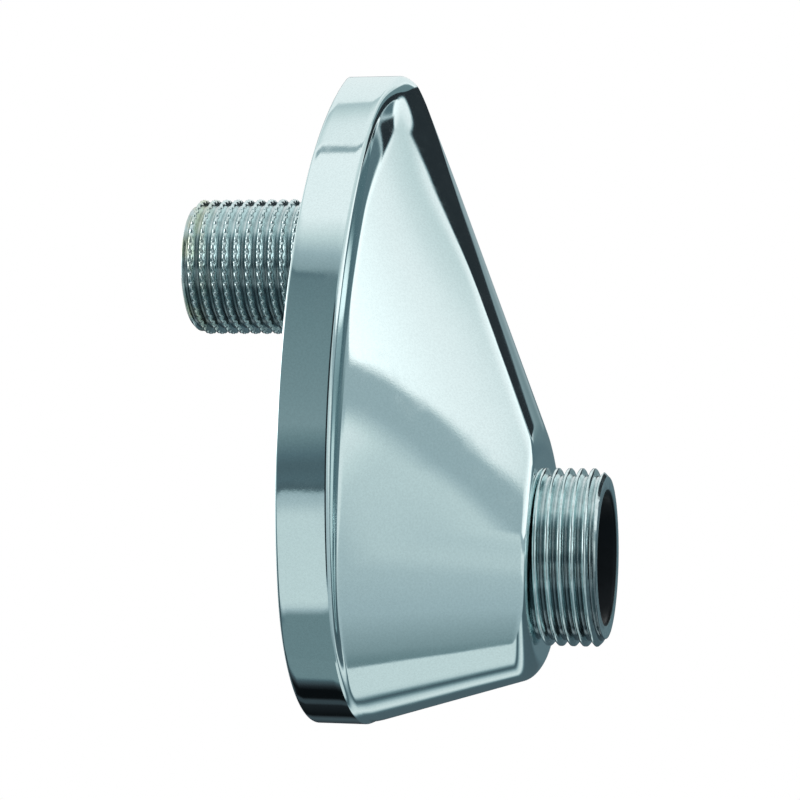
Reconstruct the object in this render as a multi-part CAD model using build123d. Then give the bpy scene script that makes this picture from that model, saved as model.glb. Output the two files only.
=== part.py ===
from build123d import *
from math import atan2, degrees, hypot, sqrt
import os

# Eccentric connector for a wall-mounted shower mixer, cast in one piece.
# A threaded nipple goes back into the wall, and a larger one comes out of
# the front, lower down. An open-backed cover joins the two: a deep rim that
# stands on the wall, and a tapering hood that leads down to the outlet.
#
# Frame: millimetres, +Z up, and the front looks along -Y. The origin is
# where the inlet's axis meets the wall, so the wall is the plane Y = 0.

# Pipe threads, both 14 turns to the inch. The nipples have their crest size.
INLET_THREAD_DIAMETER = 20.955
OUTLET_THREAD_DIAMETER = 26.441

# Where the two nipples lie
ECCENTRICITY = 44.8
INLET_LENGTH = 22.8
OUTLET_LENGTH = 9.5
INLET_BORE = 14.4
OUTLET_BORE = 19.2
INLET_LEAD_CHAMFER = 1.0
OUTLET_LEAD_CHAMFER = 1.2
BORE_CHAMFER = 0.6

# Rim, as its outline seen from the front: four arcs that meet smoothly
RIM_TOP = 30.5
RIM_BOTTOM = -70.5
RIM_TOP_RADIUS = 6.0
RIM_BOTTOM_RADIUS = 28.0
RIM_FLANK_RADIUS = 67.0
RIM_DEPTH = 8.1
RIM_EDGE_RADIUS = 0.8

# Foot of the hood, where it grows out of the rim. It leaves a narrow ledge
# down both sides, and is trimmed almost flush with the rim above and below.
FOOT_TOP = 31.0
FOOT_BOTTOM = -70.65
FOOT_TOP_RADIUS = 4.5
FOOT_BOTTOM_RADIUS = 25.0
FOOT_FLANK_RADIUS = 79.0
FOOT_TRIM = 0.15

# Front end of the hood, round the outlet. The slanted face takes its top off.
FRONT_DEPTH = 34.0
FRONT_TOP = 2.0
FRONT_BOTTOM = -62.6
FRONT_TOP_RADIUS = 4.0
FRONT_BOTTOM_RADIUS = 15.4
FRONT_FLANK_RADIUS = 900.0

# The slanted front face, which planes the hood off from the top of the rim
# down to just above the outlet. It is crowned from side to side.
SLANT_TOP_DEPTH = 12.1
SLANT_TOP = 26.7
SLANT_BOTTOM = -27.1
CROWN_RADIUS = 45.0
HOOD_EDGE_RADIUS = 0.8

# Walls of the casting, and the boss inside the cover that carries the inlet
WALL = 3.0
INLET_BOSS_DIAMETER = 24.0
INLET_SHOULDER_DEPTH = 1.5

# Waterway: level bores in from both ends, and a sloping one between the turns
INLET_TURN_DEPTH = 11.0
OUTLET_TURN_DEPTH = 18.0
DUCT_BORE = 12.0


def teardrop(top, bottom, top_radius, bottom_radius, flank_radius, inset=0.0):
    """Closed outline of a small arc above, a large one below and two flanks.

    Each flank is an arc whose centre lies on the other side of the middle,
    as far from both end centres as the difference of the radii.
    """
    upper = top - top_radius
    lower = bottom + bottom_radius
    to_upper = flank_radius - top_radius
    to_lower = flank_radius - bottom_radius
    span = upper - lower
    drop = (to_upper**2 - to_lower**2 + span**2) / (2 * span)
    aside = sqrt(to_upper**2 - drop**2)
    level = upper - drop
    upper_angle = degrees(atan2(upper - level, aside))
    lower_angle = degrees(atan2(lower - level, aside))
    flank_angle = upper_angle - lower_angle
    flank = flank_radius - inset
    with BuildSketch(Plane.XZ) as outline:
        with BuildLine():
            CenterArc((0, upper), top_radius - inset, upper_angle, 180 - 2 * upper_angle)
            CenterArc((aside, level), flank, 180 - upper_angle, flank_angle)
            CenterArc((0, lower), bottom_radius - inset, 180 - lower_angle, 180 + 2 * lower_angle)
            CenterArc((-aside, level), flank, lower_angle, flank_angle)
        make_face()
    return outline.sketch


def join_edges(first, second):
    """Both lists of edges, with what they share taken once."""
    apart = [edge for edge in second if not any(edge.is_same(other) for other in first)]
    return first + apart


def at_depth(sketch, depth):
    """The sketch moved from the wall plane to a depth in front of it."""
    return Pos(0, -depth, 0) * sketch


def bar(diameter, start, end):
    """Round bar between two points of the middle plane, each a depth and a height."""
    run, rise = end[0] - start[0], end[1] - start[1]
    across = Plane(origin=(0, -start[0], start[1]), z_dir=(0, -run, rise))
    return extrude(across * Circle(diameter / 2), hypot(run, rise))


def ball(diameter, place):
    return Pos(0, -place[0], place[1]) * Sphere(diameter / 2)


def behind_slant(inset=0.0):
    """Thick round bar whose surface is the crowned slanted face, or one parallel to it inside."""
    run, rise = FRONT_DEPTH - SLANT_TOP_DEPTH, SLANT_BOTTOM - SLANT_TOP
    length = hypot(run, rise)
    sunk = (CROWN_RADIUS * rise / length, CROWN_RADIUS * run / length)
    top = (SLANT_TOP_DEPTH + sunk[0], SLANT_TOP - sunk[1])
    above = (top[0] - run, top[1] - rise)
    below = (top[0] + 2 * run, top[1] + 2 * rise)
    return bar(2 * (CROWN_RADIUS - inset), above, below)


RIM = (RIM_TOP, RIM_BOTTOM, RIM_TOP_RADIUS, RIM_BOTTOM_RADIUS, RIM_FLANK_RADIUS)
FOOT = (FOOT_TOP, FOOT_BOTTOM, FOOT_TOP_RADIUS, FOOT_BOTTOM_RADIUS, FOOT_FLANK_RADIUS)
FRONT = (FRONT_TOP, FRONT_BOTTOM, FRONT_TOP_RADIUS, FRONT_BOTTOM_RADIUS, FRONT_FLANK_RADIUS)

OUTLET_END_DEPTH = FRONT_DEPTH + OUTLET_LENGTH
INLET_END = (-INLET_LENGTH, 0.0)
INLET_SHOULDER = (INLET_SHOULDER_DEPTH, 0.0)
INLET_TURN = (INLET_TURN_DEPTH, 0.0)
INLET_BOSS_END = (FRONT_DEPTH, 0.0)
OUTLET_TURN = (OUTLET_TURN_DEPTH, -ECCENTRICITY)
OUTLET_END = (OUTLET_END_DEPTH, -ECCENTRICITY)
OUTLET_ROOT = (FRONT_DEPTH - WALL, -ECCENTRICITY)


def rim():
    """The deep plain rim, with its front edge rounded."""
    block = extrude(teardrop(*RIM), RIM_DEPTH)
    front_edges = block.edges().filter_by_position(Axis.Y, -RIM_DEPTH, -RIM_DEPTH)
    return fillet(front_edges, RIM_EDGE_RADIUS)


def hood():
    """The tapering cover between the rim and the outlet, planed off to the slanted face."""
    foot = at_depth(teardrop(*FOOT), RIM_DEPTH - RIM_EDGE_RADIUS)
    front = at_depth(teardrop(*FRONT), FRONT_DEPTH)
    within_rim = extrude(teardrop(*RIM, inset=FOOT_TRIM), FRONT_DEPTH)
    taper = loft([foot, front], ruled=True) & behind_slant()
    crown = taper.faces().filter_by(GeomType.CYLINDER)[0]
    front_face = taper.faces().sort_by(Axis.Y)[0]
    rounded = fillet(join_edges(crown.edges(), front_face.edges()), HOOD_EDGE_RADIUS)
    return rounded & within_rim


def hollow():
    """The open space behind the rim and the hood."""
    behind_rim = extrude(teardrop(*RIM, inset=WALL), RIM_DEPTH - WALL)
    foot = at_depth(teardrop(*FOOT, inset=WALL), RIM_DEPTH - WALL)
    front = at_depth(teardrop(*FRONT, inset=WALL), FRONT_DEPTH - WALL)
    return behind_rim + (loft([foot, front], ruled=True) & behind_slant(WALL))


def waterway_walls():
    """The solid round the waterway inside the cover, merged with the cover's front."""
    duct = DUCT_BORE + 2 * WALL
    socket = OUTLET_BORE + 2 * WALL
    walls = bar(INLET_BOSS_DIAMETER, INLET_SHOULDER, INLET_BOSS_END)
    walls += bar(duct, INLET_TURN, OUTLET_TURN)
    walls += ball(socket, OUTLET_TURN) + bar(socket, OUTLET_TURN, OUTLET_ROOT)
    return walls & behind_slant(WALL / 2)


def nipple(diameter, start, end, lead_chamfer):
    """Threaded end at its crest size, with the chamfer that leads the mating thread on."""
    stub = bar(diameter, start, end)
    toward = 1 if end[0] > start[0] else -1
    tip = stub.faces().sort_by(Axis.Y)[0 if toward > 0 else -1]
    return chamfer(tip.edges(), lead_chamfer)


def waterway():
    """The bores from the inlet's end to the outlet's, with a small chamfer at each mouth."""
    bores = bar(INLET_BORE, INLET_END, INLET_TURN) + ball(INLET_BORE, INLET_TURN)
    bores += bar(DUCT_BORE, INLET_TURN, OUTLET_TURN)
    bores += ball(OUTLET_BORE, OUTLET_TURN) + bar(OUTLET_BORE, OUTLET_TURN, OUTLET_END)
    return bores


def mouth(bore, end, inward):
    """Cone that breaks the edge of a bore at the end of a nipple."""
    wide, narrow = bore / 2 + BORE_CHAMFER, bore / 2
    out = Plane(origin=(0, -end[0], end[1]), z_dir=(0, inward, 0))
    return out * Pos(0, 0, BORE_CHAMFER / 2) * Cone(wide, narrow, BORE_CHAMFER)


def build():
    cover = rim() + hood() - hollow()
    nipples = nipple(INLET_THREAD_DIAMETER, INLET_SHOULDER, INLET_END, INLET_LEAD_CHAMFER)
    nipples += nipple(OUTLET_THREAD_DIAMETER, OUTLET_ROOT, OUTLET_END, OUTLET_LEAD_CHAMFER)
    casting = cover + waterway_walls() + nipples
    casting -= waterway()
    casting -= mouth(INLET_BORE, INLET_END, -1)
    casting -= mouth(OUTLET_BORE, OUTLET_END, 1)
    return casting


if __name__ == "__main__":
    os.makedirs("parts", exist_ok=True)
    export_step(build(), "parts/connector_body.step")
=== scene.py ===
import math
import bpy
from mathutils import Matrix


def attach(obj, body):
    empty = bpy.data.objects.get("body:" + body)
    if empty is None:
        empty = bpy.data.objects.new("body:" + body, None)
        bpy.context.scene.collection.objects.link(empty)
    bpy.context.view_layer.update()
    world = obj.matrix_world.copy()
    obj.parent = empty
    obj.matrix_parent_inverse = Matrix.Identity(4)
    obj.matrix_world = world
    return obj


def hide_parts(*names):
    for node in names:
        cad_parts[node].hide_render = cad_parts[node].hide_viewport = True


bl_info = {
    "name": "Eccentric connector",
    "version": (1, 0, 0),
    "blender": (4, 5, 0),
    "location": "3D View > Sidebar > Connector",
    "description": "Chromed eccentric connector for a wall-mounted shower mixer",
    "category": "Add Mesh",
}

from collections import namedtuple
from types import SimpleNamespace

import bmesh
import bpy
import numpy as np
from bpy.props import FloatProperty, FloatVectorProperty, IntProperty, PointerProperty
from mathutils import Matrix, Vector

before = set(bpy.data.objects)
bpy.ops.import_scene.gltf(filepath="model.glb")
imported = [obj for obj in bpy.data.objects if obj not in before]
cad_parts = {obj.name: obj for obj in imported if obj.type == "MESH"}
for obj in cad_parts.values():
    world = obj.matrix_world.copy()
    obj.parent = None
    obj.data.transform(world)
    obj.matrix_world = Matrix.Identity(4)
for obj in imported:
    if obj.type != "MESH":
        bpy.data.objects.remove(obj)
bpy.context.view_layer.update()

MM = 0.001
CASTING = "connector_body"
BODY = "root"
PITCH = 25.4 / 14  # 14 turns to the inch, mm


# Outlines of the cover, in millimetres, seen from the front

Egg = namedtuple("Egg", "top_radius low_radius flank upper lower aside level high low")


def egg(top, bottom, top_radius, low_radius, flank_bend):
    """Radii, centres and joint angles of an outline of four arcs that meet smoothly.

    The bend of the flanks is one over their radius. Each flank's centre lies
    beyond the middle, as far from both end centres as the radii differ.
    """
    flank = 1.0 / flank_bend
    upper = top - top_radius
    lower = bottom + low_radius
    to_upper = flank - top_radius
    to_lower = flank - low_radius
    span = upper - lower
    drop = (to_upper**2 - to_lower**2 + span**2) / (2 * span)
    aside = np.sqrt(to_upper**2 - drop**2)
    level = upper - drop
    high = np.arctan2(upper - level, aside)
    low = np.arctan2(lower - level, aside)
    return Egg(top_radius, low_radius, flank, upper, lower, aside, level, high, low)


def inside(x, z, outline):
    """Distance from a point in to the outline: the radius of the arc whose sector
    holds the point, less the point's distance from that arc's centre."""
    x = np.abs(x)
    turn = np.arctan2(z - outline.level, x + outline.aside)
    near_top = outline.top_radius - np.hypot(x, z - outline.upper)
    near_low = outline.low_radius - np.hypot(x, z - outline.lower)
    near_flank = outline.flank - np.hypot(x + outline.aside, z - outline.level)
    lower_part = np.where(turn < outline.low, near_low, near_flank)
    return np.where(turn > outline.high, near_top, lower_part)


def on_outline(lift, side, outline, inset=0.0):
    """Point of the outline that faces up by the angle lift, on the side +1 or -1:
    the centre of the arc that faces that way, plus its radius in that direction."""
    arcs = [lift > outline.high, lift < outline.low]
    radius = np.select(arcs, [outline.top_radius, outline.low_radius], outline.flank) - inset
    across = np.select(arcs, [0.0, 0.0], -outline.aside)
    height = np.select(arcs, [outline.upper, outline.lower], outline.level)
    return side * (across + radius * np.cos(lift)), height + radius * np.sin(lift)


def columns_round(count, outline, top_share, low_share):
    """Angle and side that each column faces, once round the outline: even steps along
    each arc, with fixed shares of the columns for the top arc and the bottom arc."""
    marks = [0, low_share, 1 - top_share, 1]
    turns = [-math.pi / 2, float(outline.low), float(outline.high), math.pi / 2]
    lift = np.interp(np.linspace(0, 1, count // 2 + 1), marks, turns)
    side = np.concatenate([np.ones(len(lift)), -np.ones(len(lift) - 2)])
    return np.concatenate([lift, lift[::-1][1:-1]]), side


def ease(value, start, end):
    """Smooth step from 0 at the start to 1 at the end: the share of the way between
    them, held between 0 and 1, times itself times (3 less twice it)."""
    share = np.clip((value - start) / (end - start), 0, 1)
    return share * share * (3 - 2 * share)


def between(low, high, share):
    """Value at a share of the way from one to the other."""
    return low + (high - low) * share


def round_off(a, b, radius):
    """Smaller of two distances, with the edge between them rounded off: inside the
    corner it is the radius less the distance to the rounding's centre."""
    corner = radius - np.hypot(np.maximum(radius - a, 0), np.maximum(radius - b, 0))
    return np.where((a < radius) & (b < radius), corner, np.minimum(a, b))


def fill_in(a, b, radius):
    """Larger of two distances, with the groove between them filled to the radius."""
    return -round_off(-a, -b, radius)


# Meshes from grids

def grid_quads(rows, columns, wide):
    """Quads between the rows of a grid, over so many of its columns. A column after
    the last is the first one again."""
    row, column = np.meshgrid(np.arange(rows - 1), np.arange(wide), indexing="ij")
    right = (column + 1) % columns
    corners = [row * columns + column, row * columns + right,
               (row + 1) * columns + right, (row + 1) * columns + column]
    return np.stack([corner.ravel() for corner in corners], axis=1)


def closed_quads(rows, columns, first=0):
    """Quads of a grid whose columns close on themselves and whose rows are open."""
    return first + grid_quads(rows, columns, columns)


def open_quads(rows, columns):
    """Quads of a grid that is open both ways."""
    return grid_quads(rows, columns, columns - 1)


def make_piece(name, points, faces, materials, which=None):
    """Piece from millimetre points and quads, with doubles merged and faces outward."""
    mesh = bpy.data.meshes.new(name)
    mesh.from_pydata(points * MM, [], faces)
    for material in materials:
        mesh.materials.append(material)
    if which is not None:
        mesh.polygons.foreach_set("material_index", which.astype(np.int32))
    work = bmesh.new()
    work.from_mesh(mesh)
    bmesh.ops.remove_doubles(work, verts=work.verts, dist=1e-7)
    bmesh.ops.recalc_face_normals(work, faces=work.faces)
    work.to_mesh(mesh)
    work.free()
    mesh.shade_smooth()
    piece = bpy.data.objects.new(name, mesh)
    bpy.context.scene.collection.objects.link(piece)
    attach(piece, BODY)
    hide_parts(CASTING)
    return piece


# The cover

# The sides taper, so a distance seen from the front is longer than one square to them
TAPER_STRETCH = 1.15
# Heights between which the cover's shape changes, above the inlet's axis and, for the
# chin, below it, in millimetres
NOSE_LIFT_HEIGHTS = (19, 31)
SOFT_EDGE_HEIGHTS = (-8, 12)
NOSE_FILLET_HEIGHTS = (2, 18)
NOSE_EDGE_HEIGHTS = (20, 29)
CHIN_EDGE_DROPS = (52, 62)
# Shares of the cover's columns that start on the rim's top and bottom arcs
TOP_SHARE, LOW_SHARE = 0.18, 0.27
# Points along each column that the rows are picked from, outside and in the hollow
OUTER_SAMPLES, INNER_SAMPLES = 1400, 500


def hood_distance(x, depth, z, s, inset=0.0):
    """Distance in to the hood from its tapering sides, its crowned slanted face and
    its front face, with the edges between them rounded off.

    The outline of the sides goes evenly from the foot's to the front's. The slanted
    face is a cylinder whose axis lies along the slope, one crown radius below it.
    """
    share = (depth - s.foot_depth) / (s.front_depth - s.foot_depth)
    outline = egg(between(s.foot_top, s.front_top, share),
                  between(s.foot_bottom, s.front_bottom, share),
                  between(s.foot_top_radius, s.front_top_radius, share),
                  between(s.foot_low_radius, s.front_low_radius, share),
                  between(1 / s.foot_flank_radius, 1 / s.front_flank_radius, share))
    sides = (inside(x, z, outline) - inset) / TAPER_STRETCH
    sides = sides + s.nose_lift * ease(z, *NOSE_LIFT_HEIGHTS)
    run, rise = s.slant_foot_depth - s.slant_top_depth, s.slant_foot - s.slant_top
    above_slope = (s.slant_top_depth - depth) * rise + (z - s.slant_top) * run
    above_slope = above_slope / math.hypot(run, rise)
    slant = s.crown_radius - np.hypot(above_slope + s.crown_radius, x) - inset
    front = s.front_depth - depth - inset
    soft = between(s.edge_low, s.edge_high, ease(z, *SOFT_EDGE_HEIGHTS))
    chin = between(s.edge_low, s.edge_chin, ease(-z, *CHIN_EDGE_DROPS))
    return round_off(round_off(sides, slant, soft), front, chin)


def cover_depth(x, z, s, rim, inset=0.0):
    """How far the cover reaches in front of the wall plane at each point: the depth
    at which the distance in comes to nothing, found by halving the span."""
    low, high = np.zeros_like(x), np.full_like(x, s.front_depth + 1)
    edge = np.maximum(inside(x, z, rim) - inset, 1e-4)
    fillet = s.foot_fillet + s.nose_fillet * ease(z, *NOSE_FILLET_HEIGHTS)
    nose = np.interp(z, NOSE_EDGE_HEIGHTS, (s.rim_edge, s.nose_edge))
    for _ in range(32):
        middle = (low + high) / 2
        hood = hood_distance(x, middle, z, s, inset)
        body = fill_in(hood, s.rim_depth - inset - middle, fillet)
        solid = round_off(body, edge, nose) > 0
        low = np.where(solid, middle, low)
        high = np.where(solid, high, middle)
    return low


def even_rows(path, rows, turn_weight=1.2):
    """Rows along each column at even steps of length plus weighted turning, so that
    they lie closer where the profile bends. The path is samples by columns by 3."""
    step = np.diff(path, axis=0)
    length = np.linalg.norm(step, axis=2)
    heading = step / np.maximum(length, 1e-9)[..., None]
    bend = np.linalg.norm(np.diff(heading, axis=0), axis=2)
    weight = length + turn_weight * np.concatenate([bend, bend[-1:]])
    columns = path.shape[1]
    measure = np.concatenate([np.zeros((1, columns)), np.cumsum(weight, axis=0)])
    apart = 2.0 * np.arange(columns)
    known = (measure / measure[-1] + apart).T.ravel()
    wanted = (np.linspace(0, 1, rows)[:, None] + apart).T.ravel()
    spread = [np.interp(wanted, known, path[..., k].T.ravel()) for k in range(3)]
    return np.stack(spread, axis=1).reshape(columns, rows, 3).transpose(1, 0, 2)


def cover_side(s, rim, lift, side, rows, samples, inset=0.0):
    """Surface from the rim's outline in to the ring round the outlet. Each column
    starts square to the outline and bends towards the ring, at the cover's depth.

    Seen from the front it is a curve with one control point, which lies at 0.3 of the
    way to the ring, and at most 0.6 of the way to the middle plane so that no two
    columns cross. The samples lie closer near the rim, as the power 1.6 of their share.
    """
    start_x, start_z = on_outline(lift, side, rim, inset)
    across, out_z = np.cos(lift), np.sin(lift)
    out_x = side * across
    end_x = s.ring_radius * out_x
    end_z = s.ring_radius * out_z - s.offset
    flat = np.maximum(across, 1e-3)
    middle = np.where(across > 1e-3, np.abs(start_x) / flat, s.rim_top_radius)
    reach = np.minimum(0.3 * np.hypot(start_x - end_x, start_z - end_z), 0.6 * middle)
    share = np.linspace(0, 1, samples)[:, None]
    share = 0.06 * share + 0.94 * share**1.6
    near, turn, far = (1 - share) ** 2, 2 * share * (1 - share), share**2
    x = near * start_x + turn * (start_x - reach * out_x) + far * end_x
    z = near * start_z + turn * (start_z - reach * out_z) + far * end_z
    depth = cover_depth(x, z, s, rim, inset)
    return even_rows(np.stack([x, -depth, z], axis=2), rows)


def rim_outline(s):
    """Outline of the rim from its sizes."""
    return egg(s.rim_top, s.rim_bottom, s.rim_top_radius, s.rim_low_radius,
               1 / s.rim_flank_radius)


def cover_surface(s):
    """Closed shell: round the rim's back edge, up the rim, over the hood to the
    outlet's ring, and back along the hollow inside to the wall plane."""
    rim = rim_outline(s)
    lift, side = columns_round(s.columns, rim, TOP_SHARE, LOW_SHARE)
    outside = cover_side(s, rim, lift, side, s.outer_rows, OUTER_SAMPLES)
    within = cover_side(s, rim, lift, side, s.inner_rows, INNER_SAMPLES, s.wall)[::-1]
    quarter = (np.linspace(0, 1, 6) * math.pi / 2)[:, None]
    edge_x, edge_z = on_outline(lift, side, rim)
    flat_x, flat_z = on_outline(lift, side, rim, s.back_edge)
    back = np.stack([flat_x + (edge_x - flat_x) * np.sin(quarter),
                     s.back_edge * (np.cos(quarter) - 1) + 0 * edge_x,
                     flat_z + (edge_z - flat_z) * np.sin(quarter)], axis=2)
    climb = np.linspace(0, 1, 10)[1:-1, None, None]
    wall = back[-1:] + (outside[:1] - back[-1:]) * climb
    lip = within[-1:] * [1, 0, 1]
    rows = np.concatenate([back, wall, outside, within, lip, back[:1]])
    polished = len(back) + len(wall) + len(outside) - 1
    which = (np.arange(len(rows) - 1) >= polished).repeat(len(lift))
    return rows.reshape(-1, 3), closed_quads(len(rows), len(lift)), which


# Threads and turned parts

# Shape of a thread, as shares of one turn: half the flat root, and the flank's run
ROOT_HALF, FLANK_RUN = 0.085, 0.33
# Share of the flank's height that climbs straight; the rest of it eases in and out
FLANK_STRAIGHT = 0.55
# Share of a knurl notch's spacing from its bottom to where it runs out
NOTCH_HALF = 0.3
# How far the lead's cone goes down below the root, in millimetres
LEAD_BELOW_ROOT = 0.4


def ring_rows(around, stations, height):
    """Rows of circles about an axis along Y, from pairs of a radius and a place."""
    radius, along = np.array(stations, dtype=float).T[:, :, None]
    return np.stack([radius * np.sin(around), along + 0 * around,
                     height + radius * np.cos(around)], axis=2)


def arc_stations(centre, radius, start, end, steps):
    """Stations along an arc in the plane of radius and place, angles in degrees."""
    angle = np.radians(np.linspace(start, end, steps))
    return [(centre[0] + radius * math.cos(a), centre[1] + radius * math.sin(a)) for a in angle]


def thread_surface(t):
    """Closed threaded nipple with its bore, about an axis along Y.

    The grid runs along the helix, so that crests and roots follow its rows, and a
    row's end joins the start of the row one turn on. The radius climbs with the
    distance from the groove's middle, from the root up slightly eased flanks to the
    crest. It is the smallest of that, the crest less the knurl's notches, and the
    cone of the lead. Rows that run past either end of the thread lie on its last
    point and are merged away.
    """
    around = np.linspace(0, 2 * math.pi, t.columns, endpoint=False)
    advance = around / (2 * math.pi)
    low = (t.low_end - t.groove) / PITCH - advance
    high = (t.high_end - t.groove) / PITCH - advance
    first = math.floor(low.min() * t.steps)
    last = math.ceil(high.max() * t.steps)
    phase = np.arange(first, last + 1)[:, None] / t.steps
    phase = np.clip(phase, low, high)
    along = t.groove + PITCH * (phase + advance)
    off_groove = np.abs(phase - np.round(phase))
    climb = np.clip((off_groove - ROOT_HALF) / FLANK_RUN, 0, 1)
    soft = 0.5 - 0.5 * np.cos(math.pi * climb)
    flank = between(soft, climb, FLANK_STRAIGHT)
    radius = between(t.root, t.crest, flank)
    beat = (around * t.notches / (2 * math.pi)) % 1.0 - 0.5
    notch = t.notch_depth * np.maximum(1 - np.abs(beat) / NOTCH_HALF, 0)
    radius = np.minimum(radius, t.crest - notch)
    from_tip = t.high_end - along if t.tip_high else along - t.low_end
    cone = np.maximum(t.crest - t.lead + from_tip, t.root - LEAD_BELOW_ROOT)
    radius = np.minimum(radius, cone)
    thread = np.stack([radius * np.sin(around), along, t.height + radius * np.cos(around)],
                      axis=2)
    shift = t.steps
    if not t.tip_high:
        thread, shift = thread[::-1], -t.steps
    before = ring_rows(around, t.before, t.height)
    after = ring_rows(around, t.after, t.height)
    rows, columns = len(thread), t.columns
    start = len(before) * columns
    here = np.arange(max(0, -shift), rows - 1 - max(0, shift))
    seam = [here * columns + columns - 1, (here + shift) * columns,
            (here + shift + 1) * columns, (here + 1) * columns + columns - 1]
    faces = [start + open_quads(rows, columns),
             start + np.stack(seam, axis=1),
             closed_quads(len(before) + 1, columns),
             closed_quads(len(after) + 1, columns, (len(before) + rows - 1) * columns)]
    points = np.concatenate([before, thread, after])
    return points.reshape(-1, 3), np.concatenate(faces)


def sleeve_rows(around, stations, start, end):
    """Rows of circles about the line between two points (depth, height) of the middle
    plane, from pairs of a radius and a distance along it."""
    run, rise = end[0] - start[0], end[1] - start[1]
    length = math.hypot(run, rise)
    run, rise = run / length, rise / length
    radius, along = np.array(stations, dtype=float).T[:, :, None]
    up = radius * np.cos(around)
    depth = start[0] + run * along + rise * up
    height = start[1] + rise * along - run * up
    return np.stack([radius * np.sin(around), -depth, height], axis=2)


# Shader maths

class Wire:
    """A socket of a shader tree. Arithmetic on it adds the matching Math nodes."""

    def __init__(self, tree, socket=None):
        self.tree = tree
        self.socket = socket

    def node(self, kind, settings=None, sockets=None, out=0):
        """Add a node, apply its settings first, then fill or link its sockets."""
        made = self.tree.nodes.new(kind)
        for key, value in (settings or {}).items():
            if key == "stops":
                ends = made.color_ramp.elements
                for element, (place, colour) in zip(ends, (value[0], value[-1])):
                    element.position, element.color = place, colour
                for place, colour in value[1:-1]:
                    ends.new(place).color = colour
            else:
                setattr(made, key, value)
        for key, value in (sockets or {}).items():
            if isinstance(value, Wire):
                self.tree.links.new(value.socket, made.inputs[key])
            else:
                made.inputs[key].default_value = value
        return Wire(self.tree, made.outputs[out]) if len(made.outputs) else None

    def other(self, name):
        """Another output of the node that this wire comes from."""
        return Wire(self.tree, self.socket.node.outputs[name])

    def maths(self, operation, *others):
        """Math node whose first value is this wire."""
        return self.node("ShaderNodeMath", {"operation": operation},
                         dict(enumerate((self,) + others)))

    def step(self, low, high):
        """0 below the first value, 1 above the second, and a soft step between them."""
        return self.node("ShaderNodeMapRange", {"interpolation_type": "SMOOTHSTEP"},
                         {"Value": self, "From Min": low, "From Max": high})

    def __add__(self, other):
        return self.maths("ADD", other)

    def __sub__(self, other):
        return self.maths("SUBTRACT", other)

    def __rsub__(self, other):
        return self.node("ShaderNodeMath", {"operation": "SUBTRACT"}, {0: other, 1: self})

    def __mul__(self, other):
        return self.maths("MULTIPLY", other)

    def __truediv__(self, other):
        return self.maths("DIVIDE", other)

    __radd__ = __add__
    __rmul__ = __mul__

    def profile(self, pairs):
        """Value that follows a list of (this wire's value, result) pairs in straight lines."""
        low, high = pairs[0][0], pairs[-1][0]
        stops = [((here - low) / (high - low), (value, value, value, 1.0))
                 for here, value in pairs]
        return self.node("ShaderNodeValToRGB", {"stops": stops},
                         {"Fac": (self - low) / (high - low)})

    def band(self, low, high, soft):
        """1 between two values and 0 outside them, with soft edges."""
        return self.step(low - soft, low + soft) * (1.0 - self.step(high - soft, high + soft))

    def noise(self, scale, detail, roughness):
        """Noise at the place that this wire gives."""
        return self.node("ShaderNodeTexNoise", None,
                         {"Vector": self, "Scale": scale, "Detail": detail,
                          "Roughness": roughness})


def blend(amount, first, second):
    """First value where the amount is 0, second where it is 1."""
    return first + (second - first) * amount


def mix_colour(amount, first, second):
    """Mix of two colours by an amount."""
    return amount.node("ShaderNodeMix", {"data_type": "RGBA"},
                       {0: amount, 6: first, 7: second}, out=2)


def shade(colour, share=1.0):
    """Opaque colour, darkened to a share."""
    return tuple(part * share for part in colour) + (1.0,)


def new_material(name):
    """Empty material and a wire to start its tree from."""
    material = bpy.data.materials.new(name)
    material.use_nodes = True
    material.node_tree.nodes.clear()
    return material, Wire(material.node_tree)


# Materials

# Painted shade: the dark colour laid along the threads' roots
ROOT_SHADE = (0.05, 0.07, 0.09)
# Painted shade: the near black that fills the inside of the bores
BORE_SHADE = (0.012, 0.014, 0.016)


def metal(colour, roughness, height, strength, distance):
    """Metal surface with a bump, led to the material's output."""
    bump = height.node("ShaderNodeBump", None,
                       {"Height": height, "Strength": strength, "Distance": distance})
    shader = bump.node("ShaderNodeBsdfPrincipled", None,
                       {"Base Color": colour, "Metallic": 1.0, "Roughness": roughness,
                        "Normal": bump})
    shader.node("ShaderNodeOutputMaterial", None, {"Surface": shader})


def polished_chrome(look):
    """Bright plating on the polished cover: a mirror with a faint waviness and fine
    specks, a little rougher in soft patches."""
    material, start = new_material("polished_chrome")
    place = start.node("ShaderNodeTexCoord", out="Object")
    waves = place.noise(70.0, 1.0, 0.4)
    grain = place.noise(3200.0, 2.0, 0.6)
    haze = place.noise(260.0, 4.0, 0.6)
    colour = mix_colour(grain.step(0.3, 0.7), shade(look.colour), shade(look.colour, 0.93))
    roughness = look.roughness + haze.step(0.45, 0.75) * 0.05
    metal(colour, roughness, waves + grain * 0.02, 0.25, 0.0003)
    return material


def cast_chrome(look):
    """Thin plating over the unpolished casting inside: dull, grainy and darker."""
    material, start = new_material("cast_chrome")
    place = start.node("ShaderNodeTexCoord", out="Object")
    lumps = place.noise(420.0, 5.0, 0.65)
    sand = place.noise(2400.0, 3.0, 0.7)
    colour = mix_colour(lumps.step(0.35, 0.65), shade(look.colour, 0.62),
                        shade(look.colour, 0.78))
    metal(colour, 0.34 + sand.step(0.3, 0.7) * 0.16, lumps + sand * 0.5, 0.6, 0.0004)
    return material


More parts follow.
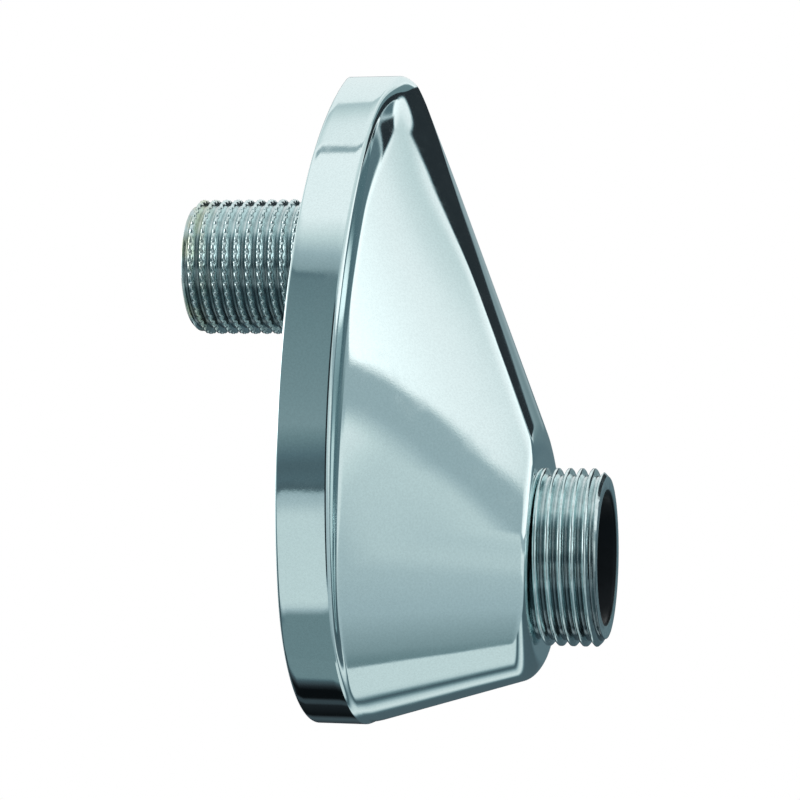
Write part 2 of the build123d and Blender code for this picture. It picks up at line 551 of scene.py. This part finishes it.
def thread_chrome(look, offset, inlet_root, outlet_root):
    """Plating on the cut threads: less even than the cover, with a breath of brass
    where it is thin at the inlet's end, painted shade along the roots, most of it on
    the lower side, and painted shade that makes the bores near black. Lengths are in metres.

    The reach is the distance from the nearer nipple's axis: the root of the squares of
    the places across it and above it.
    """
    material, start = new_material("thread_chrome")
    place = start.node("ShaderNodeTexCoord", out="Object")
    split = place.node("ShaderNodeSeparateXYZ", None, {"Vector": place})
    across, along, height = (split.other(name) for name in "XYZ")
    mottle = place.noise(900.0, 3.0, 0.6)
    patch = place.noise(260.0, 2.0, 0.5)
    thin = along.step(0.0165, 0.0225) * patch.step(0.38, 0.62) * 0.55
    plate = mix_colour(mottle.step(0.35, 0.75), shade(look.colour), shade(look.colour, 0.8))
    colour = mix_colour(thin, plate, shade(look.brass))
    on_inlet = along.step(-0.0201, -0.0199)
    above = height + offset * (1.0 - on_inlet)
    reach = (across * across + above * above).maths("SQRT")
    past_root = reach - blend(on_inlet, outlet_root, inlet_root)
    below = 1.0 - above.step(-0.0065, 0.0)
    # Painted shade in the thread roots, stronger on the lower side
    root_shade = past_root.band(-0.00006, 0.0003, 0.00003) * (0.3 + 0.7 * below)
    # Painted shade: the bores are painted near black
    bore = 1.0 - past_root.step(-0.0020, -0.0018)
    colour = mix_colour(root_shade * 0.75, colour, shade(ROOT_SHADE))
    colour = mix_colour(bore, colour, shade(BORE_SHADE))
    roughness = look.thread_roughness + mottle.step(0.4, 0.8) * 0.12 + bore * 0.25
    metal(colour, roughness, mottle, 0.3, 0.00008)
    return material


# What a user can change

def length(name, about, value):
    """Length in millimetres, shown as a plain number."""
    return FloatProperty(name=name, description=about, default=value)


class CoverSizes(bpy.types.PropertyGroup):
    rim_top: length("Rim top", "Highest point of the rim above the inlet's axis, mm", 30.5)
    rim_bottom: length("Rim bottom", "Lowest point of the rim, mm", -70.5)
    rim_top_radius: length("Rim top radius", "Radius of the rim's top arc, mm", 6.0)
    rim_low_radius: length("Rim bottom radius", "Radius of the rim's bottom arc, mm", 28.0)
    rim_flank_radius: length("Rim flank radius", "Radius of the rim's flanks, mm", 67.0)
    rim_depth: length("Rim depth", "How far the rim stands off the wall, mm", 8.1)
    rim_edge: length("Rim edge", "Rounding of the rim's front edge, mm", 0.8)
    nose_edge: length("Nose edge", "Rounding where the hood leaves the rim's top, mm", 1.9)
    nose_lift: length("Nose lift", "How far the hood's top flares out past the rim's, mm", 2.0)
    back_edge: length("Back edge", "Rounding of the rim's back edge, mm", 0.4)
    foot_depth: length("Foot depth", "Depth at which the hood's foot is given, mm", 7.3)
    foot_top: length("Foot top", "Top of the hood's foot, mm", 31.91)
    foot_bottom: length("Foot bottom", "Bottom of the hood's foot, mm", -70.65)
    foot_top_radius: length("Foot top radius", "Radius of the foot's top arc, mm", 1.91)
    foot_low_radius: length("Foot bottom radius", "Radius of the foot's bottom arc, mm", 25.0)
    foot_flank_radius: length("Foot flank radius", "Radius of the foot's flanks, mm", 79.0)
    foot_fillet: length("Foot fillet", "Hollow rounding at the hood's foot, mm", 0.7)
    nose_fillet: length("Nose fillet", "How much wider that rounding is near the top, mm", 1.2)
    front_depth: length("Front depth", "Depth of the hood's front face, mm", 34.0)
    front_top: length("Front top", "Top of the front outline, mm", 9.19)
    front_bottom: length("Front bottom", "Bottom of the front outline, mm", -62.6)
    front_top_radius: length("Front top radius", "Radius of the front's top arc, mm", 1.19)
    front_low_radius: length("Front bottom radius", "Radius of the front's bottom arc, mm", 15.4)
    front_flank_radius: length("Front flank radius", "Radius of the front's flanks, mm", 900.0)
    slant_top_depth: length("Slant top depth", "Depth of the slanted face at its top, mm", 12.1)
    slant_top: length("Slant top", "Height of the slanted face's top, mm", 26.7)
    slant_foot_depth: length("Slant foot depth", "Depth of the slanted face at its foot, mm", 34.0)
    slant_foot: length("Slant foot", "Height of the slanted face's foot, mm", -27.1)
    crown_radius: length("Crown radius", "Crown of the slanted face from side to side, mm", 45.0)
    edge_low: length("Low edge", "Rounding of the edges round the outlet, mm", 0.9)
    edge_high: length("High edge", "Rounding of the slanted face's edges at its top, mm", 3.0)
    edge_chin: length("Chin edge", "Rounding of the front's edge below the outlet, mm", 2.6)
    wall: length("Wall", "Thickness of the cover, mm", 3.0)
    offset: length("Eccentricity", "How far the outlet lies below the inlet, mm", 44.8)
    ring_radius: length("Ring radius", "Where the cover ends under the outlet, mm", 11.8)
    columns: IntProperty(name="Columns", description="Grid columns round the cover",
                         default=400, min=40)
    outer_rows: IntProperty(name="Outer rows", description="Grid rows over the outside",
                            default=168, min=20)
    inner_rows: IntProperty(name="Inner rows", description="Grid rows over the hollow",
                            default=48, min=10)


class ThreadSizes(bpy.types.PropertyGroup):
    inlet_crest: length("Inlet crest radius", "Crest radius of the inlet's thread, mm", 10.4775)
    inlet_root: length("Inlet root radius", "Root radius of the inlet's thread, mm", 9.3155)
    inlet_end: length("Inlet end", "How far the inlet reaches behind the wall plane, mm", 22.8)
    inlet_bore: length("Inlet bore radius", "Radius of the inlet's bore, mm", 7.2)
    outlet_crest: length("Outlet crest radius", "Crest radius of the outlet's thread, mm", 13.2205)
    outlet_root: length("Outlet root radius", "Root radius of the outlet's thread, mm", 12.0585)
    outlet_end: length("Outlet end", "Depth of the outlet's end in front of the wall, mm", 43.5)
    outlet_bore: length("Outlet bore radius", "Radius of the outlet's bore, mm", 9.6)
    notches: IntProperty(name="Notches", description="Knurl notches round the inlet's crest",
                         default=41, min=1)
    notch_depth: length("Notch depth", "Depth of the knurl's notches, mm", 0.3)


class ChromeLook(bpy.types.PropertyGroup):
    colour: FloatVectorProperty(name="Plating", description="Colour of the plating",
                                subtype="COLOR", default=(0.74, 0.88, 0.89), min=0, max=1)
    brass: FloatVectorProperty(name="Brass", description="Brass under thin plating",
                               subtype="COLOR", default=(0.62, 0.62, 0.36), min=0, max=1)
    roughness: FloatProperty(name="Roughness", description="Haze of the polished cover",
                             default=0.06, min=0, max=1)
    thread_roughness: FloatProperty(name="Thread roughness",
                                    description="Haze of the cut threads",
                                    default=0.12, min=0, max=1)


class StageLook(bpy.types.PropertyGroup):
    azimuth: FloatProperty(name="Azimuth", description="Turn of the camera round the object",
                           subtype="ANGLE", default=math.radians(-77.2))
    elevation: FloatProperty(name="Elevation", description="Lift of the camera",
                             subtype="ANGLE", default=math.radians(-12.0))
    roll: FloatProperty(name="Roll", description="Tilt of the camera about its view",
                        subtype="ANGLE", default=math.radians(3.13))
    distance: FloatProperty(name="Distance", description="Camera to target", unit="LENGTH",
                            default=0.4273)
    lens: FloatProperty(name="Lens", description="Focal length, mm on a 36 mm sensor",
                        default=126.0)
    floor: FloatProperty(name="Floor", description="Height of the floor", unit="LENGTH",
                         default=-0.118)


MATERIALS = {}


class CONNECTOR_OT_materials(bpy.types.Operator):
    """Make the platings that the pieces share"""
    bl_idname = "connector.materials"
    bl_label = "Plating"

    def execute(self, context):
        look = context.scene.connector_chrome
        offset = context.scene.connector_cover.offset
        thread = context.scene.connector_thread
        MATERIALS["polished"] = polished_chrome(look)
        MATERIALS["cast"] = cast_chrome(look)
        MATERIALS["thread"] = thread_chrome(look, offset * MM, thread.inlet_root * MM,
                                            thread.outlet_root * MM)
        return {"FINISHED"}


class CONNECTOR_OT_cover(bpy.types.Operator):
    """Make the rim and the slanted hood as one shell, open at the back"""
    bl_idname = "connector.cover"
    bl_label = "Cover"

    def execute(self, context):
        points, faces, which = cover_surface(context.scene.connector_cover)
        make_piece("cover", points, faces, [MATERIALS["polished"], MATERIALS["cast"]], which)
        return {"FINISHED"}


# The rest of the nipples' sizes, in millimetres. Places along Y are negative in front
# of the wall plane.
INLET_TURN, OUTLET_TURN = 11.0, 18.0  # depths at which the waterway turns
INLET_FOOT, OUTLET_FOOT = -2.0, -31.6  # where the threads begin, inside the cover
INLET_CORE, OUTLET_CORE = 8.6, 11.0  # radius of the closed part before the foot
INLET_GROOVE, OUTLET_GROOVE = 0.85, -33.235  # middle of one groove, above the axis
INLET_LEAD, OUTLET_LEAD = 1.0, 1.2  # cone that leads the mating thread on
TIP_FLAT = 0.25  # how far inside the lead's cone the flat end starts
MOUTH = 0.6  # chamfer of the bore
INLET_STEPS, OUTLET_STEPS = 12, 14  # grid rows to a turn
NOTCH_COLUMNS, OUTLET_COLUMNS = 9, 360  # grid columns to a notch, and round the outlet


class CONNECTOR_OT_nipples(bpy.types.Operator):
    """Make the two threaded nipples with their bores"""
    bl_idname = "connector.nipples"
    bl_label = "Nipples"

    def execute(self, context):
        s = context.scene.connector_cover
        t = context.scene.connector_thread
        foot, turn, core = INLET_FOOT, -INLET_TURN, INLET_CORE
        end, bore, lead = t.inlet_end, t.inlet_bore, INLET_LEAD
        inlet = SimpleNamespace(
            columns=t.notches * NOTCH_COLUMNS, steps=INLET_STEPS, crest=t.inlet_crest,
            root=t.inlet_root, low_end=foot, high_end=end, groove=INLET_GROOVE,
            tip_high=True, lead=lead,
            notches=t.notches, notch_depth=t.notch_depth, height=0.0,
            before=arc_stations((0, turn), core, -90, 0, 9) + [(core, foot)],
            after=[(t.inlet_crest - lead - TIP_FLAT, end), (bore + MOUTH, end),
                   (bore, end - MOUTH), (bore, 6), (bore, turn)]
            + arc_stations((0, turn), bore, 0, -90, 10))
        points, faces = thread_surface(inlet)
        make_piece("inlet_nipple", points, faces, [MATERIALS["thread"]])
        foot, turn, core = OUTLET_FOOT, -OUTLET_TURN, OUTLET_CORE
        end, bore, lead = -t.outlet_end, t.outlet_bore, OUTLET_LEAD
        outlet = SimpleNamespace(
            columns=OUTLET_COLUMNS, steps=OUTLET_STEPS, crest=t.outlet_crest,
            root=t.outlet_root, low_end=end, high_end=foot, groove=OUTLET_GROOVE,
            tip_high=False, lead=lead,
            notches=1, notch_depth=0.0, height=-s.offset,
            before=arc_stations((0, turn), core, 90, 0, 9) + [(core, foot)],
            after=[(t.outlet_crest - lead - TIP_FLAT, end), (bore + MOUTH, end),
                   (bore, end + MOUTH), (bore, -30), (bore, turn)]
            + arc_stations((0, turn), bore, 0, 90, 10))
        points, faces = thread_surface(outlet)
        make_piece("outlet_nipple", points, faces, [MATERIALS["thread"]])
        return {"FINISHED"}


# Outside of the waterway's walls inside the cover, in millimetres
BOSS_RADIUS, BOSS_EDGE = 12.0, 0.6
DUCT_RADIUS, SOCKET_RADIUS = 9.0, 12.6


class CONNECTOR_OT_waterway(bpy.types.Operator):
    """Make the boss, the sloping duct and the socket inside the cover"""
    bl_idname = "connector.waterway"
    bl_label = "Waterway"

    def execute(self, context):
        s = context.scene.connector_cover
        around = np.linspace(0, 2 * math.pi, 96, endpoint=False)
        core, wide, edge = INLET_CORE + 0.2, BOSS_RADIUS, BOSS_EDGE
        boss = ring_rows(around, [(0, -2.5), (core, -2.5), (core, -1.5), (wide - edge, -1.5)]
                         + arc_stations((wide - edge, -1.5 - edge), edge, 90, 0, 6)
                         + [(wide, -y) for y in np.linspace(3, 30, 14)] + [(0, -30)], 0.0)
        limit = cover_depth(boss[..., 0], boss[..., 2], s, rim_outline(s)) - s.wall / 2
        boss[..., 1] = np.maximum(boss[..., 1], -limit)
        turn_in, turn_out = (INLET_TURN, 0.0), (OUTLET_TURN, -s.offset)
        span = math.hypot(turn_out[0] - turn_in[0], turn_out[1] - turn_in[1])
        along = np.linspace(0.1 - DUCT_RADIUS, span + SOCKET_RADIUS - 0.1, 110)
        start_ball = np.sqrt(np.maximum(DUCT_RADIUS**2 - along**2, 0))
        end_ball = np.sqrt(np.maximum(SOCKET_RADIUS**2 - (along - span) ** 2, 0))
        straight = np.where((along > 0) & (along < span), DUCT_RADIUS, 0.0)
        radius = np.maximum(np.maximum(start_ball, straight), end_ball)
        stations = [(0, -DUCT_RADIUS)] + list(zip(radius, along)) + [(0, span + SOCKET_RADIUS)]
        duct = sleeve_rows(around, stations, turn_in, turn_out)
        socket = ring_rows(around, [(0, -OUTLET_TURN), (SOCKET_RADIUS, -OUTLET_TURN),
                                    (SOCKET_RADIUS, -25), (SOCKET_RADIUS, -31.5), (0, -31.5)],
                           -s.offset)
        parts, faces, first = [boss, duct, socket], [], 0
        for part in parts:
            faces.append(closed_quads(len(part), len(around), first))
            first += part.shape[0] * part.shape[1]
        points = np.concatenate([part.reshape(-1, 3) for part in parts])
        make_piece("waterway", points, np.concatenate(faces), [MATERIALS["cast"]])
        return {"FINISHED"}


# The studio, as the brightness that a mirror finds by the climb of the direction above
# the horizon, in degrees. Each list is one side of it, from straight down to straight up.
LEFT_SIDE = [(-90, 0.27), (-55, 0.27), (-50.5, 0.66), (-47, 0.745), (-22, 0.73),
             (-19, 0.58), (-16.3, 0.53), (-15.7, 0.12), (-13, 0.17), (-9, 0.15), (-5, 0.22),
             (1, 0.34), (10, 0.31), (28, 0.27), (40, 0.24), (41.6, 0.18), (42.4, 0.4),
             (47, 0.5), (53, 0.8), (58, 1.0), (90, 1.0)]
FRONT_TABLE = [(-90, 0.24), (-76, 0.27), (-71, 0.35), (-60, 0.42), (-45, 0.52), (-30, 0.55),
               (-15, 0.58), (-5, 0.65), (3, 0.69), (8, 0.7), (11, 0.57), (13, 0.49),
               (90, 0.49)]
FRONT_CEILING = [(-90, 1.3), (26, 1.3), (36, 1.12), (40, 1.04), (44, 0.98), (46, 0.93),
                 (48, 0.85), (51, 0.78), (54, 0.74), (60, 0.74), (90, 0.85)]
RIGHT_SIDE = [(-90, 0.76), (-62, 0.76), (-58, 0.7), (-55, 0.3), (-52, 0.12), (-49, 0.2),
              (-46, 0.45), (-43, 0.7), (-37, 0.85), (-34, 0.65), (-31, 0.22), (-28, 0.14),
              (-3, 0.13), (4, 0.2), (12, 0.21), (18, 0.24), (22.4, 0.33), (23.4, 0.95),
              (90, 0.95)]
FAR_RIGHT = [(-90, 0.28), (-69, 0.28), (-67, 0.12), (-63, 0.03), (-60, 0.006), (-51, 0.006),
             (-48.5, 0.07), (-45, 0.07), (-43, 0.02), (-26, 0.006), (-22, 0.07), (-18, 0.1),
             (-8, 0.06), (10, 0.06), (26, 0.1), (34, 0.9), (45, 0.97), (65.4, 0.97),
             (66.2, 0.6), (73, 0.88), (76, 0.95), (90, 0.95)]
BEHIND = [(-90, 0.1), (-26, 0.1), (-14, 0.4), (-3, 0.75), (2, 2.2), (22, 2.2), (28, 0.9),
          (36, 0.75), (90, 0.8)]

# Colour of the studio by its brightness: cool greys, and white
STUDIO_TINT = [(0.0, (0.0, 0.0, 0.0, 1.0)), (0.05, (0.033, 0.042, 0.049, 1.0)),
               (0.19, (0.108, 0.167, 0.192, 1.0)), (0.27, (0.176, 0.253, 0.272, 1.0)),
               (0.53, (0.412, 0.5, 0.53, 1.0)), (0.75, (0.675, 0.748, 0.75, 1.0)),
               (1.0, (1.0, 1.0, 1.0, 1.0))]


def studio_level(direction):
    """Brightness that a mirror finds in each direction of the studio: a soft white
    ceiling above a dim room, a pale table below, and dark cards on the right.

    The turn is the direction's angle round the object, 0 straight in front and
    positive to the right, and the climb its angle above the horizon, in degrees.
    """
    x, y, z = (direction.other(name) for name in "XYZ")
    turn = x.maths("ARCTAN2", 0.0 - y).maths("DEGREES")
    climb = z.maths("ARCSINE").maths("DEGREES")

    # The table's far edge rises to the left, and the ceiling's shading to the right
    lean = 0.32 * (-15.0 - turn).maths("MAXIMUM", 0.0)
    lean = lean + 0.5 * (-46.0 - turn).maths("MAXIMUM", 0.0)
    height = climb - lean * climb.step(-5.0, 20.0)
    table = height.profile(FRONT_TABLE)
    table = table + 0.16 * turn.step(-42.0, -26.0) * height.band(-6.0, 10.5, 2.0)
    ceiling = (climb - 0.27 * turn).profile(FRONT_CEILING)
    front = blend(height.step(19.4, 21.4), table, ceiling)
    level = blend(turn.step(-92.0, -72.0), climb.profile(LEFT_SIDE), front)

    # A dark gap between the left side and the front
    gap = turn.band(-97.0, -67.0, 2.0) * climb.band(-40.0, 34.0, 4.0)
    level = blend(gap, level, 0.03)

    # The right side, with a grey edge of the ceiling, a grey band and black cards
    right = climb.profile(RIGHT_SIDE)
    slope = climb + 0.45 * turn
    level = blend(turn.step(4.0, 14.0) * (1.0 - climb.step(10.0, 20.0)), level, right)
    level = blend(turn.step(62.0, 70.0) * climb.step(8.0, 12.0), level, right)
    edge = turn.band(30.0, 62.0, 3.0) * slope.band(66.0, 84.0, 1.5)
    level = blend(edge, level, 0.27)
    level = blend(turn.step(80.0, 90.0) * climb.band(16.0, 22.6, 0.8), level, 0.42)
    below_card = (1.0 - slope.step(48.0, 51.0)) * climb.step(10.0, 14.0)
    level = blend(turn.step(24.0, 32.0) * below_card, level, 0.2)
    card = slope.band(50.0, 68.0, 1.0) * turn.step(21.0, 27.0) * climb.step(22.2, 23.4)
    level = blend(card, level, 0.035)
    level = blend(turn.step(98.0, 103.0), level, climb.profile(FAR_RIGHT))

    # Behind the object: a grey strip overhead, and the light on the threads' rear flanks
    strip = turn.band(-173.0, -162.0, 1.0) * climb.step(70.0, 72.0)
    level = blend(strip, level, 0.45)
    around = turn.maths("ABSOLUTE").step(120.0, 134.0)
    behind = around * (1.0 - climb.maths("ABSOLUTE").step(50.0, 60.0))
    return blend(behind, level, climb.profile(BEHIND))


TARGET = Vector((0, -0.0107, -0.0211))  # what the camera looks at, in metres
SENSOR_WIDTH = 36.0
FLOOR_COLOUR = (0.86, 0.86, 0.86)
FLOOR_REACH = 3.0  # half its width, in metres
WHITE = (1.0, 1.0, 1.0, 1.0)
ROOM_LIGHT = (0.8, 0.8, 0.8, 1.0)  # for all rays but the camera's and the mirrors'


def add_camera(scene, look):
    """Camera that looks at the target from the given side, tilted by the roll."""
    camera = bpy.data.objects.new("camera", bpy.data.cameras.new("camera"))
    camera.data.lens = look.lens
    camera.data.sensor_width = SENSOR_WIDTH
    camera.data.clip_start = 0.01
    a, e = look.azimuth, look.elevation
    back = Vector((math.sin(a) * math.cos(e), -math.cos(a) * math.cos(e), math.sin(e)))
    level = (-back).cross(Vector((0, 0, 1))).normalized()
    upright = level.cross(-back)
    right = level * math.cos(look.roll) + upright * math.sin(look.roll)
    up = right.cross(-back)
    turn = Matrix((right, up, back)).transposed().to_4x4()
    camera.matrix_world = Matrix.Translation(TARGET + back * look.distance) @ turn
    scene.collection.objects.link(camera)
    scene.camera = camera


def add_floor(scene, look):
    """Plain pale floor below the object, which mirrors don't show."""
    mesh = bpy.data.meshes.new("floor")
    corners = [(-1, -1), (1, -1), (1, 1), (-1, 1)]
    mesh.from_pydata([(FLOOR_REACH * x, FLOOR_REACH * y, look.floor) for x, y in corners],
                     [], [(0, 1, 2, 3)])
    material, start = new_material("pale_floor")
    shader = start.node("ShaderNodeBsdfPrincipled", None,
                        {"Base Color": shade(FLOOR_COLOUR), "Roughness": 0.8})
    shader.node("ShaderNodeOutputMaterial", None, {"Surface": shader})
    mesh.materials.append(material)
    floor = bpy.data.objects.new("floor", mesh)
    scene.collection.objects.link(floor)
    floor.visible_glossy = False


def add_studio(scene):
    """World that is white to the camera, the studio to mirrors, and even to the rest."""
    world = bpy.data.worlds.new("studio")
    world.use_nodes = True
    world.node_tree.nodes.clear()
    start = Wire(world.node_tree)
    direction = start.node("ShaderNodeTexCoord", out="Generated")
    level = studio_level(start.node("ShaderNodeSeparateXYZ", None, {"Vector": direction}))
    tint = level.node("ShaderNodeValToRGB", {"stops": STUDIO_TINT}, {"Fac": level})
    studio = tint.node("ShaderNodeMix", {"data_type": "RGBA", "blend_type": "MULTIPLY"},
                       {0: 1.0, 6: tint, 7: level.maths("MAXIMUM", 1.0)}, out=2)
    path = start.node("ShaderNodeLightPath")
    shown = mix_colour(path.other("Is Camera Ray"), studio, WHITE)
    seen = (path.other("Is Camera Ray") + path.other("Is Glossy Ray")
            + path.other("Is Transmission Ray")).step(0.0, 0.5)
    colour = mix_colour(seen, ROOM_LIGHT, shown)
    light = path.node("ShaderNodeBackground", None, {"Color": colour, "Strength": 1.0})
    path.node("ShaderNodeOutputWorld", None, {"Surface": light})
    scene.world = world


class CONNECTOR_OT_stage(bpy.types.Operator):
    """Set the camera, the pale floor and the soft light"""
    bl_idname = "connector.stage"
    bl_label = "Stage"

    def execute(self, context):
        scene = context.scene
        look = scene.connector_stage
        add_camera(scene, look)
        add_floor(scene, look)
        add_studio(scene)
        scene.view_settings.view_transform = "Standard"
        return {"FINISHED"}


class CONNECTOR_PT_panel(bpy.types.Panel):
    """Lists the steps that make the connector"""
    bl_idname = "CONNECTOR_PT_panel"
    bl_label = "Connector"
    bl_space_type = "VIEW_3D"
    bl_region_type = "UI"
    bl_category = "Connector"

    def draw(self, context):
        for step in STEPS:
            self.layout.operator(step.bl_idname)


GROUPS = {"connector_cover": CoverSizes, "connector_thread": ThreadSizes,
          "connector_chrome": ChromeLook, "connector_stage": StageLook}
STEPS = [CONNECTOR_OT_stage, CONNECTOR_OT_materials, CONNECTOR_OT_cover,
         CONNECTOR_OT_nipples, CONNECTOR_OT_waterway]


def register():
    for kind in list(GROUPS.values()) + STEPS + [CONNECTOR_PT_panel]:
        bpy.utils.register_class(kind)
    for name, group in GROUPS.items():
        setattr(bpy.types.Scene, name, PointerProperty(type=group))


def unregister():
    for name in GROUPS:
        delattr(bpy.types.Scene, name)
    for kind in [CONNECTOR_PT_panel] + STEPS[::-1] + list(GROUPS.values())[::-1]:
        bpy.utils.unregister_class(kind)


def main():
    register()
    bpy.ops.connector.stage()
    bpy.ops.connector.materials()
    bpy.ops.connector.cover()
    bpy.ops.connector.nipples()
    bpy.ops.connector.waterway()


if __name__ == "__main__":
    main()
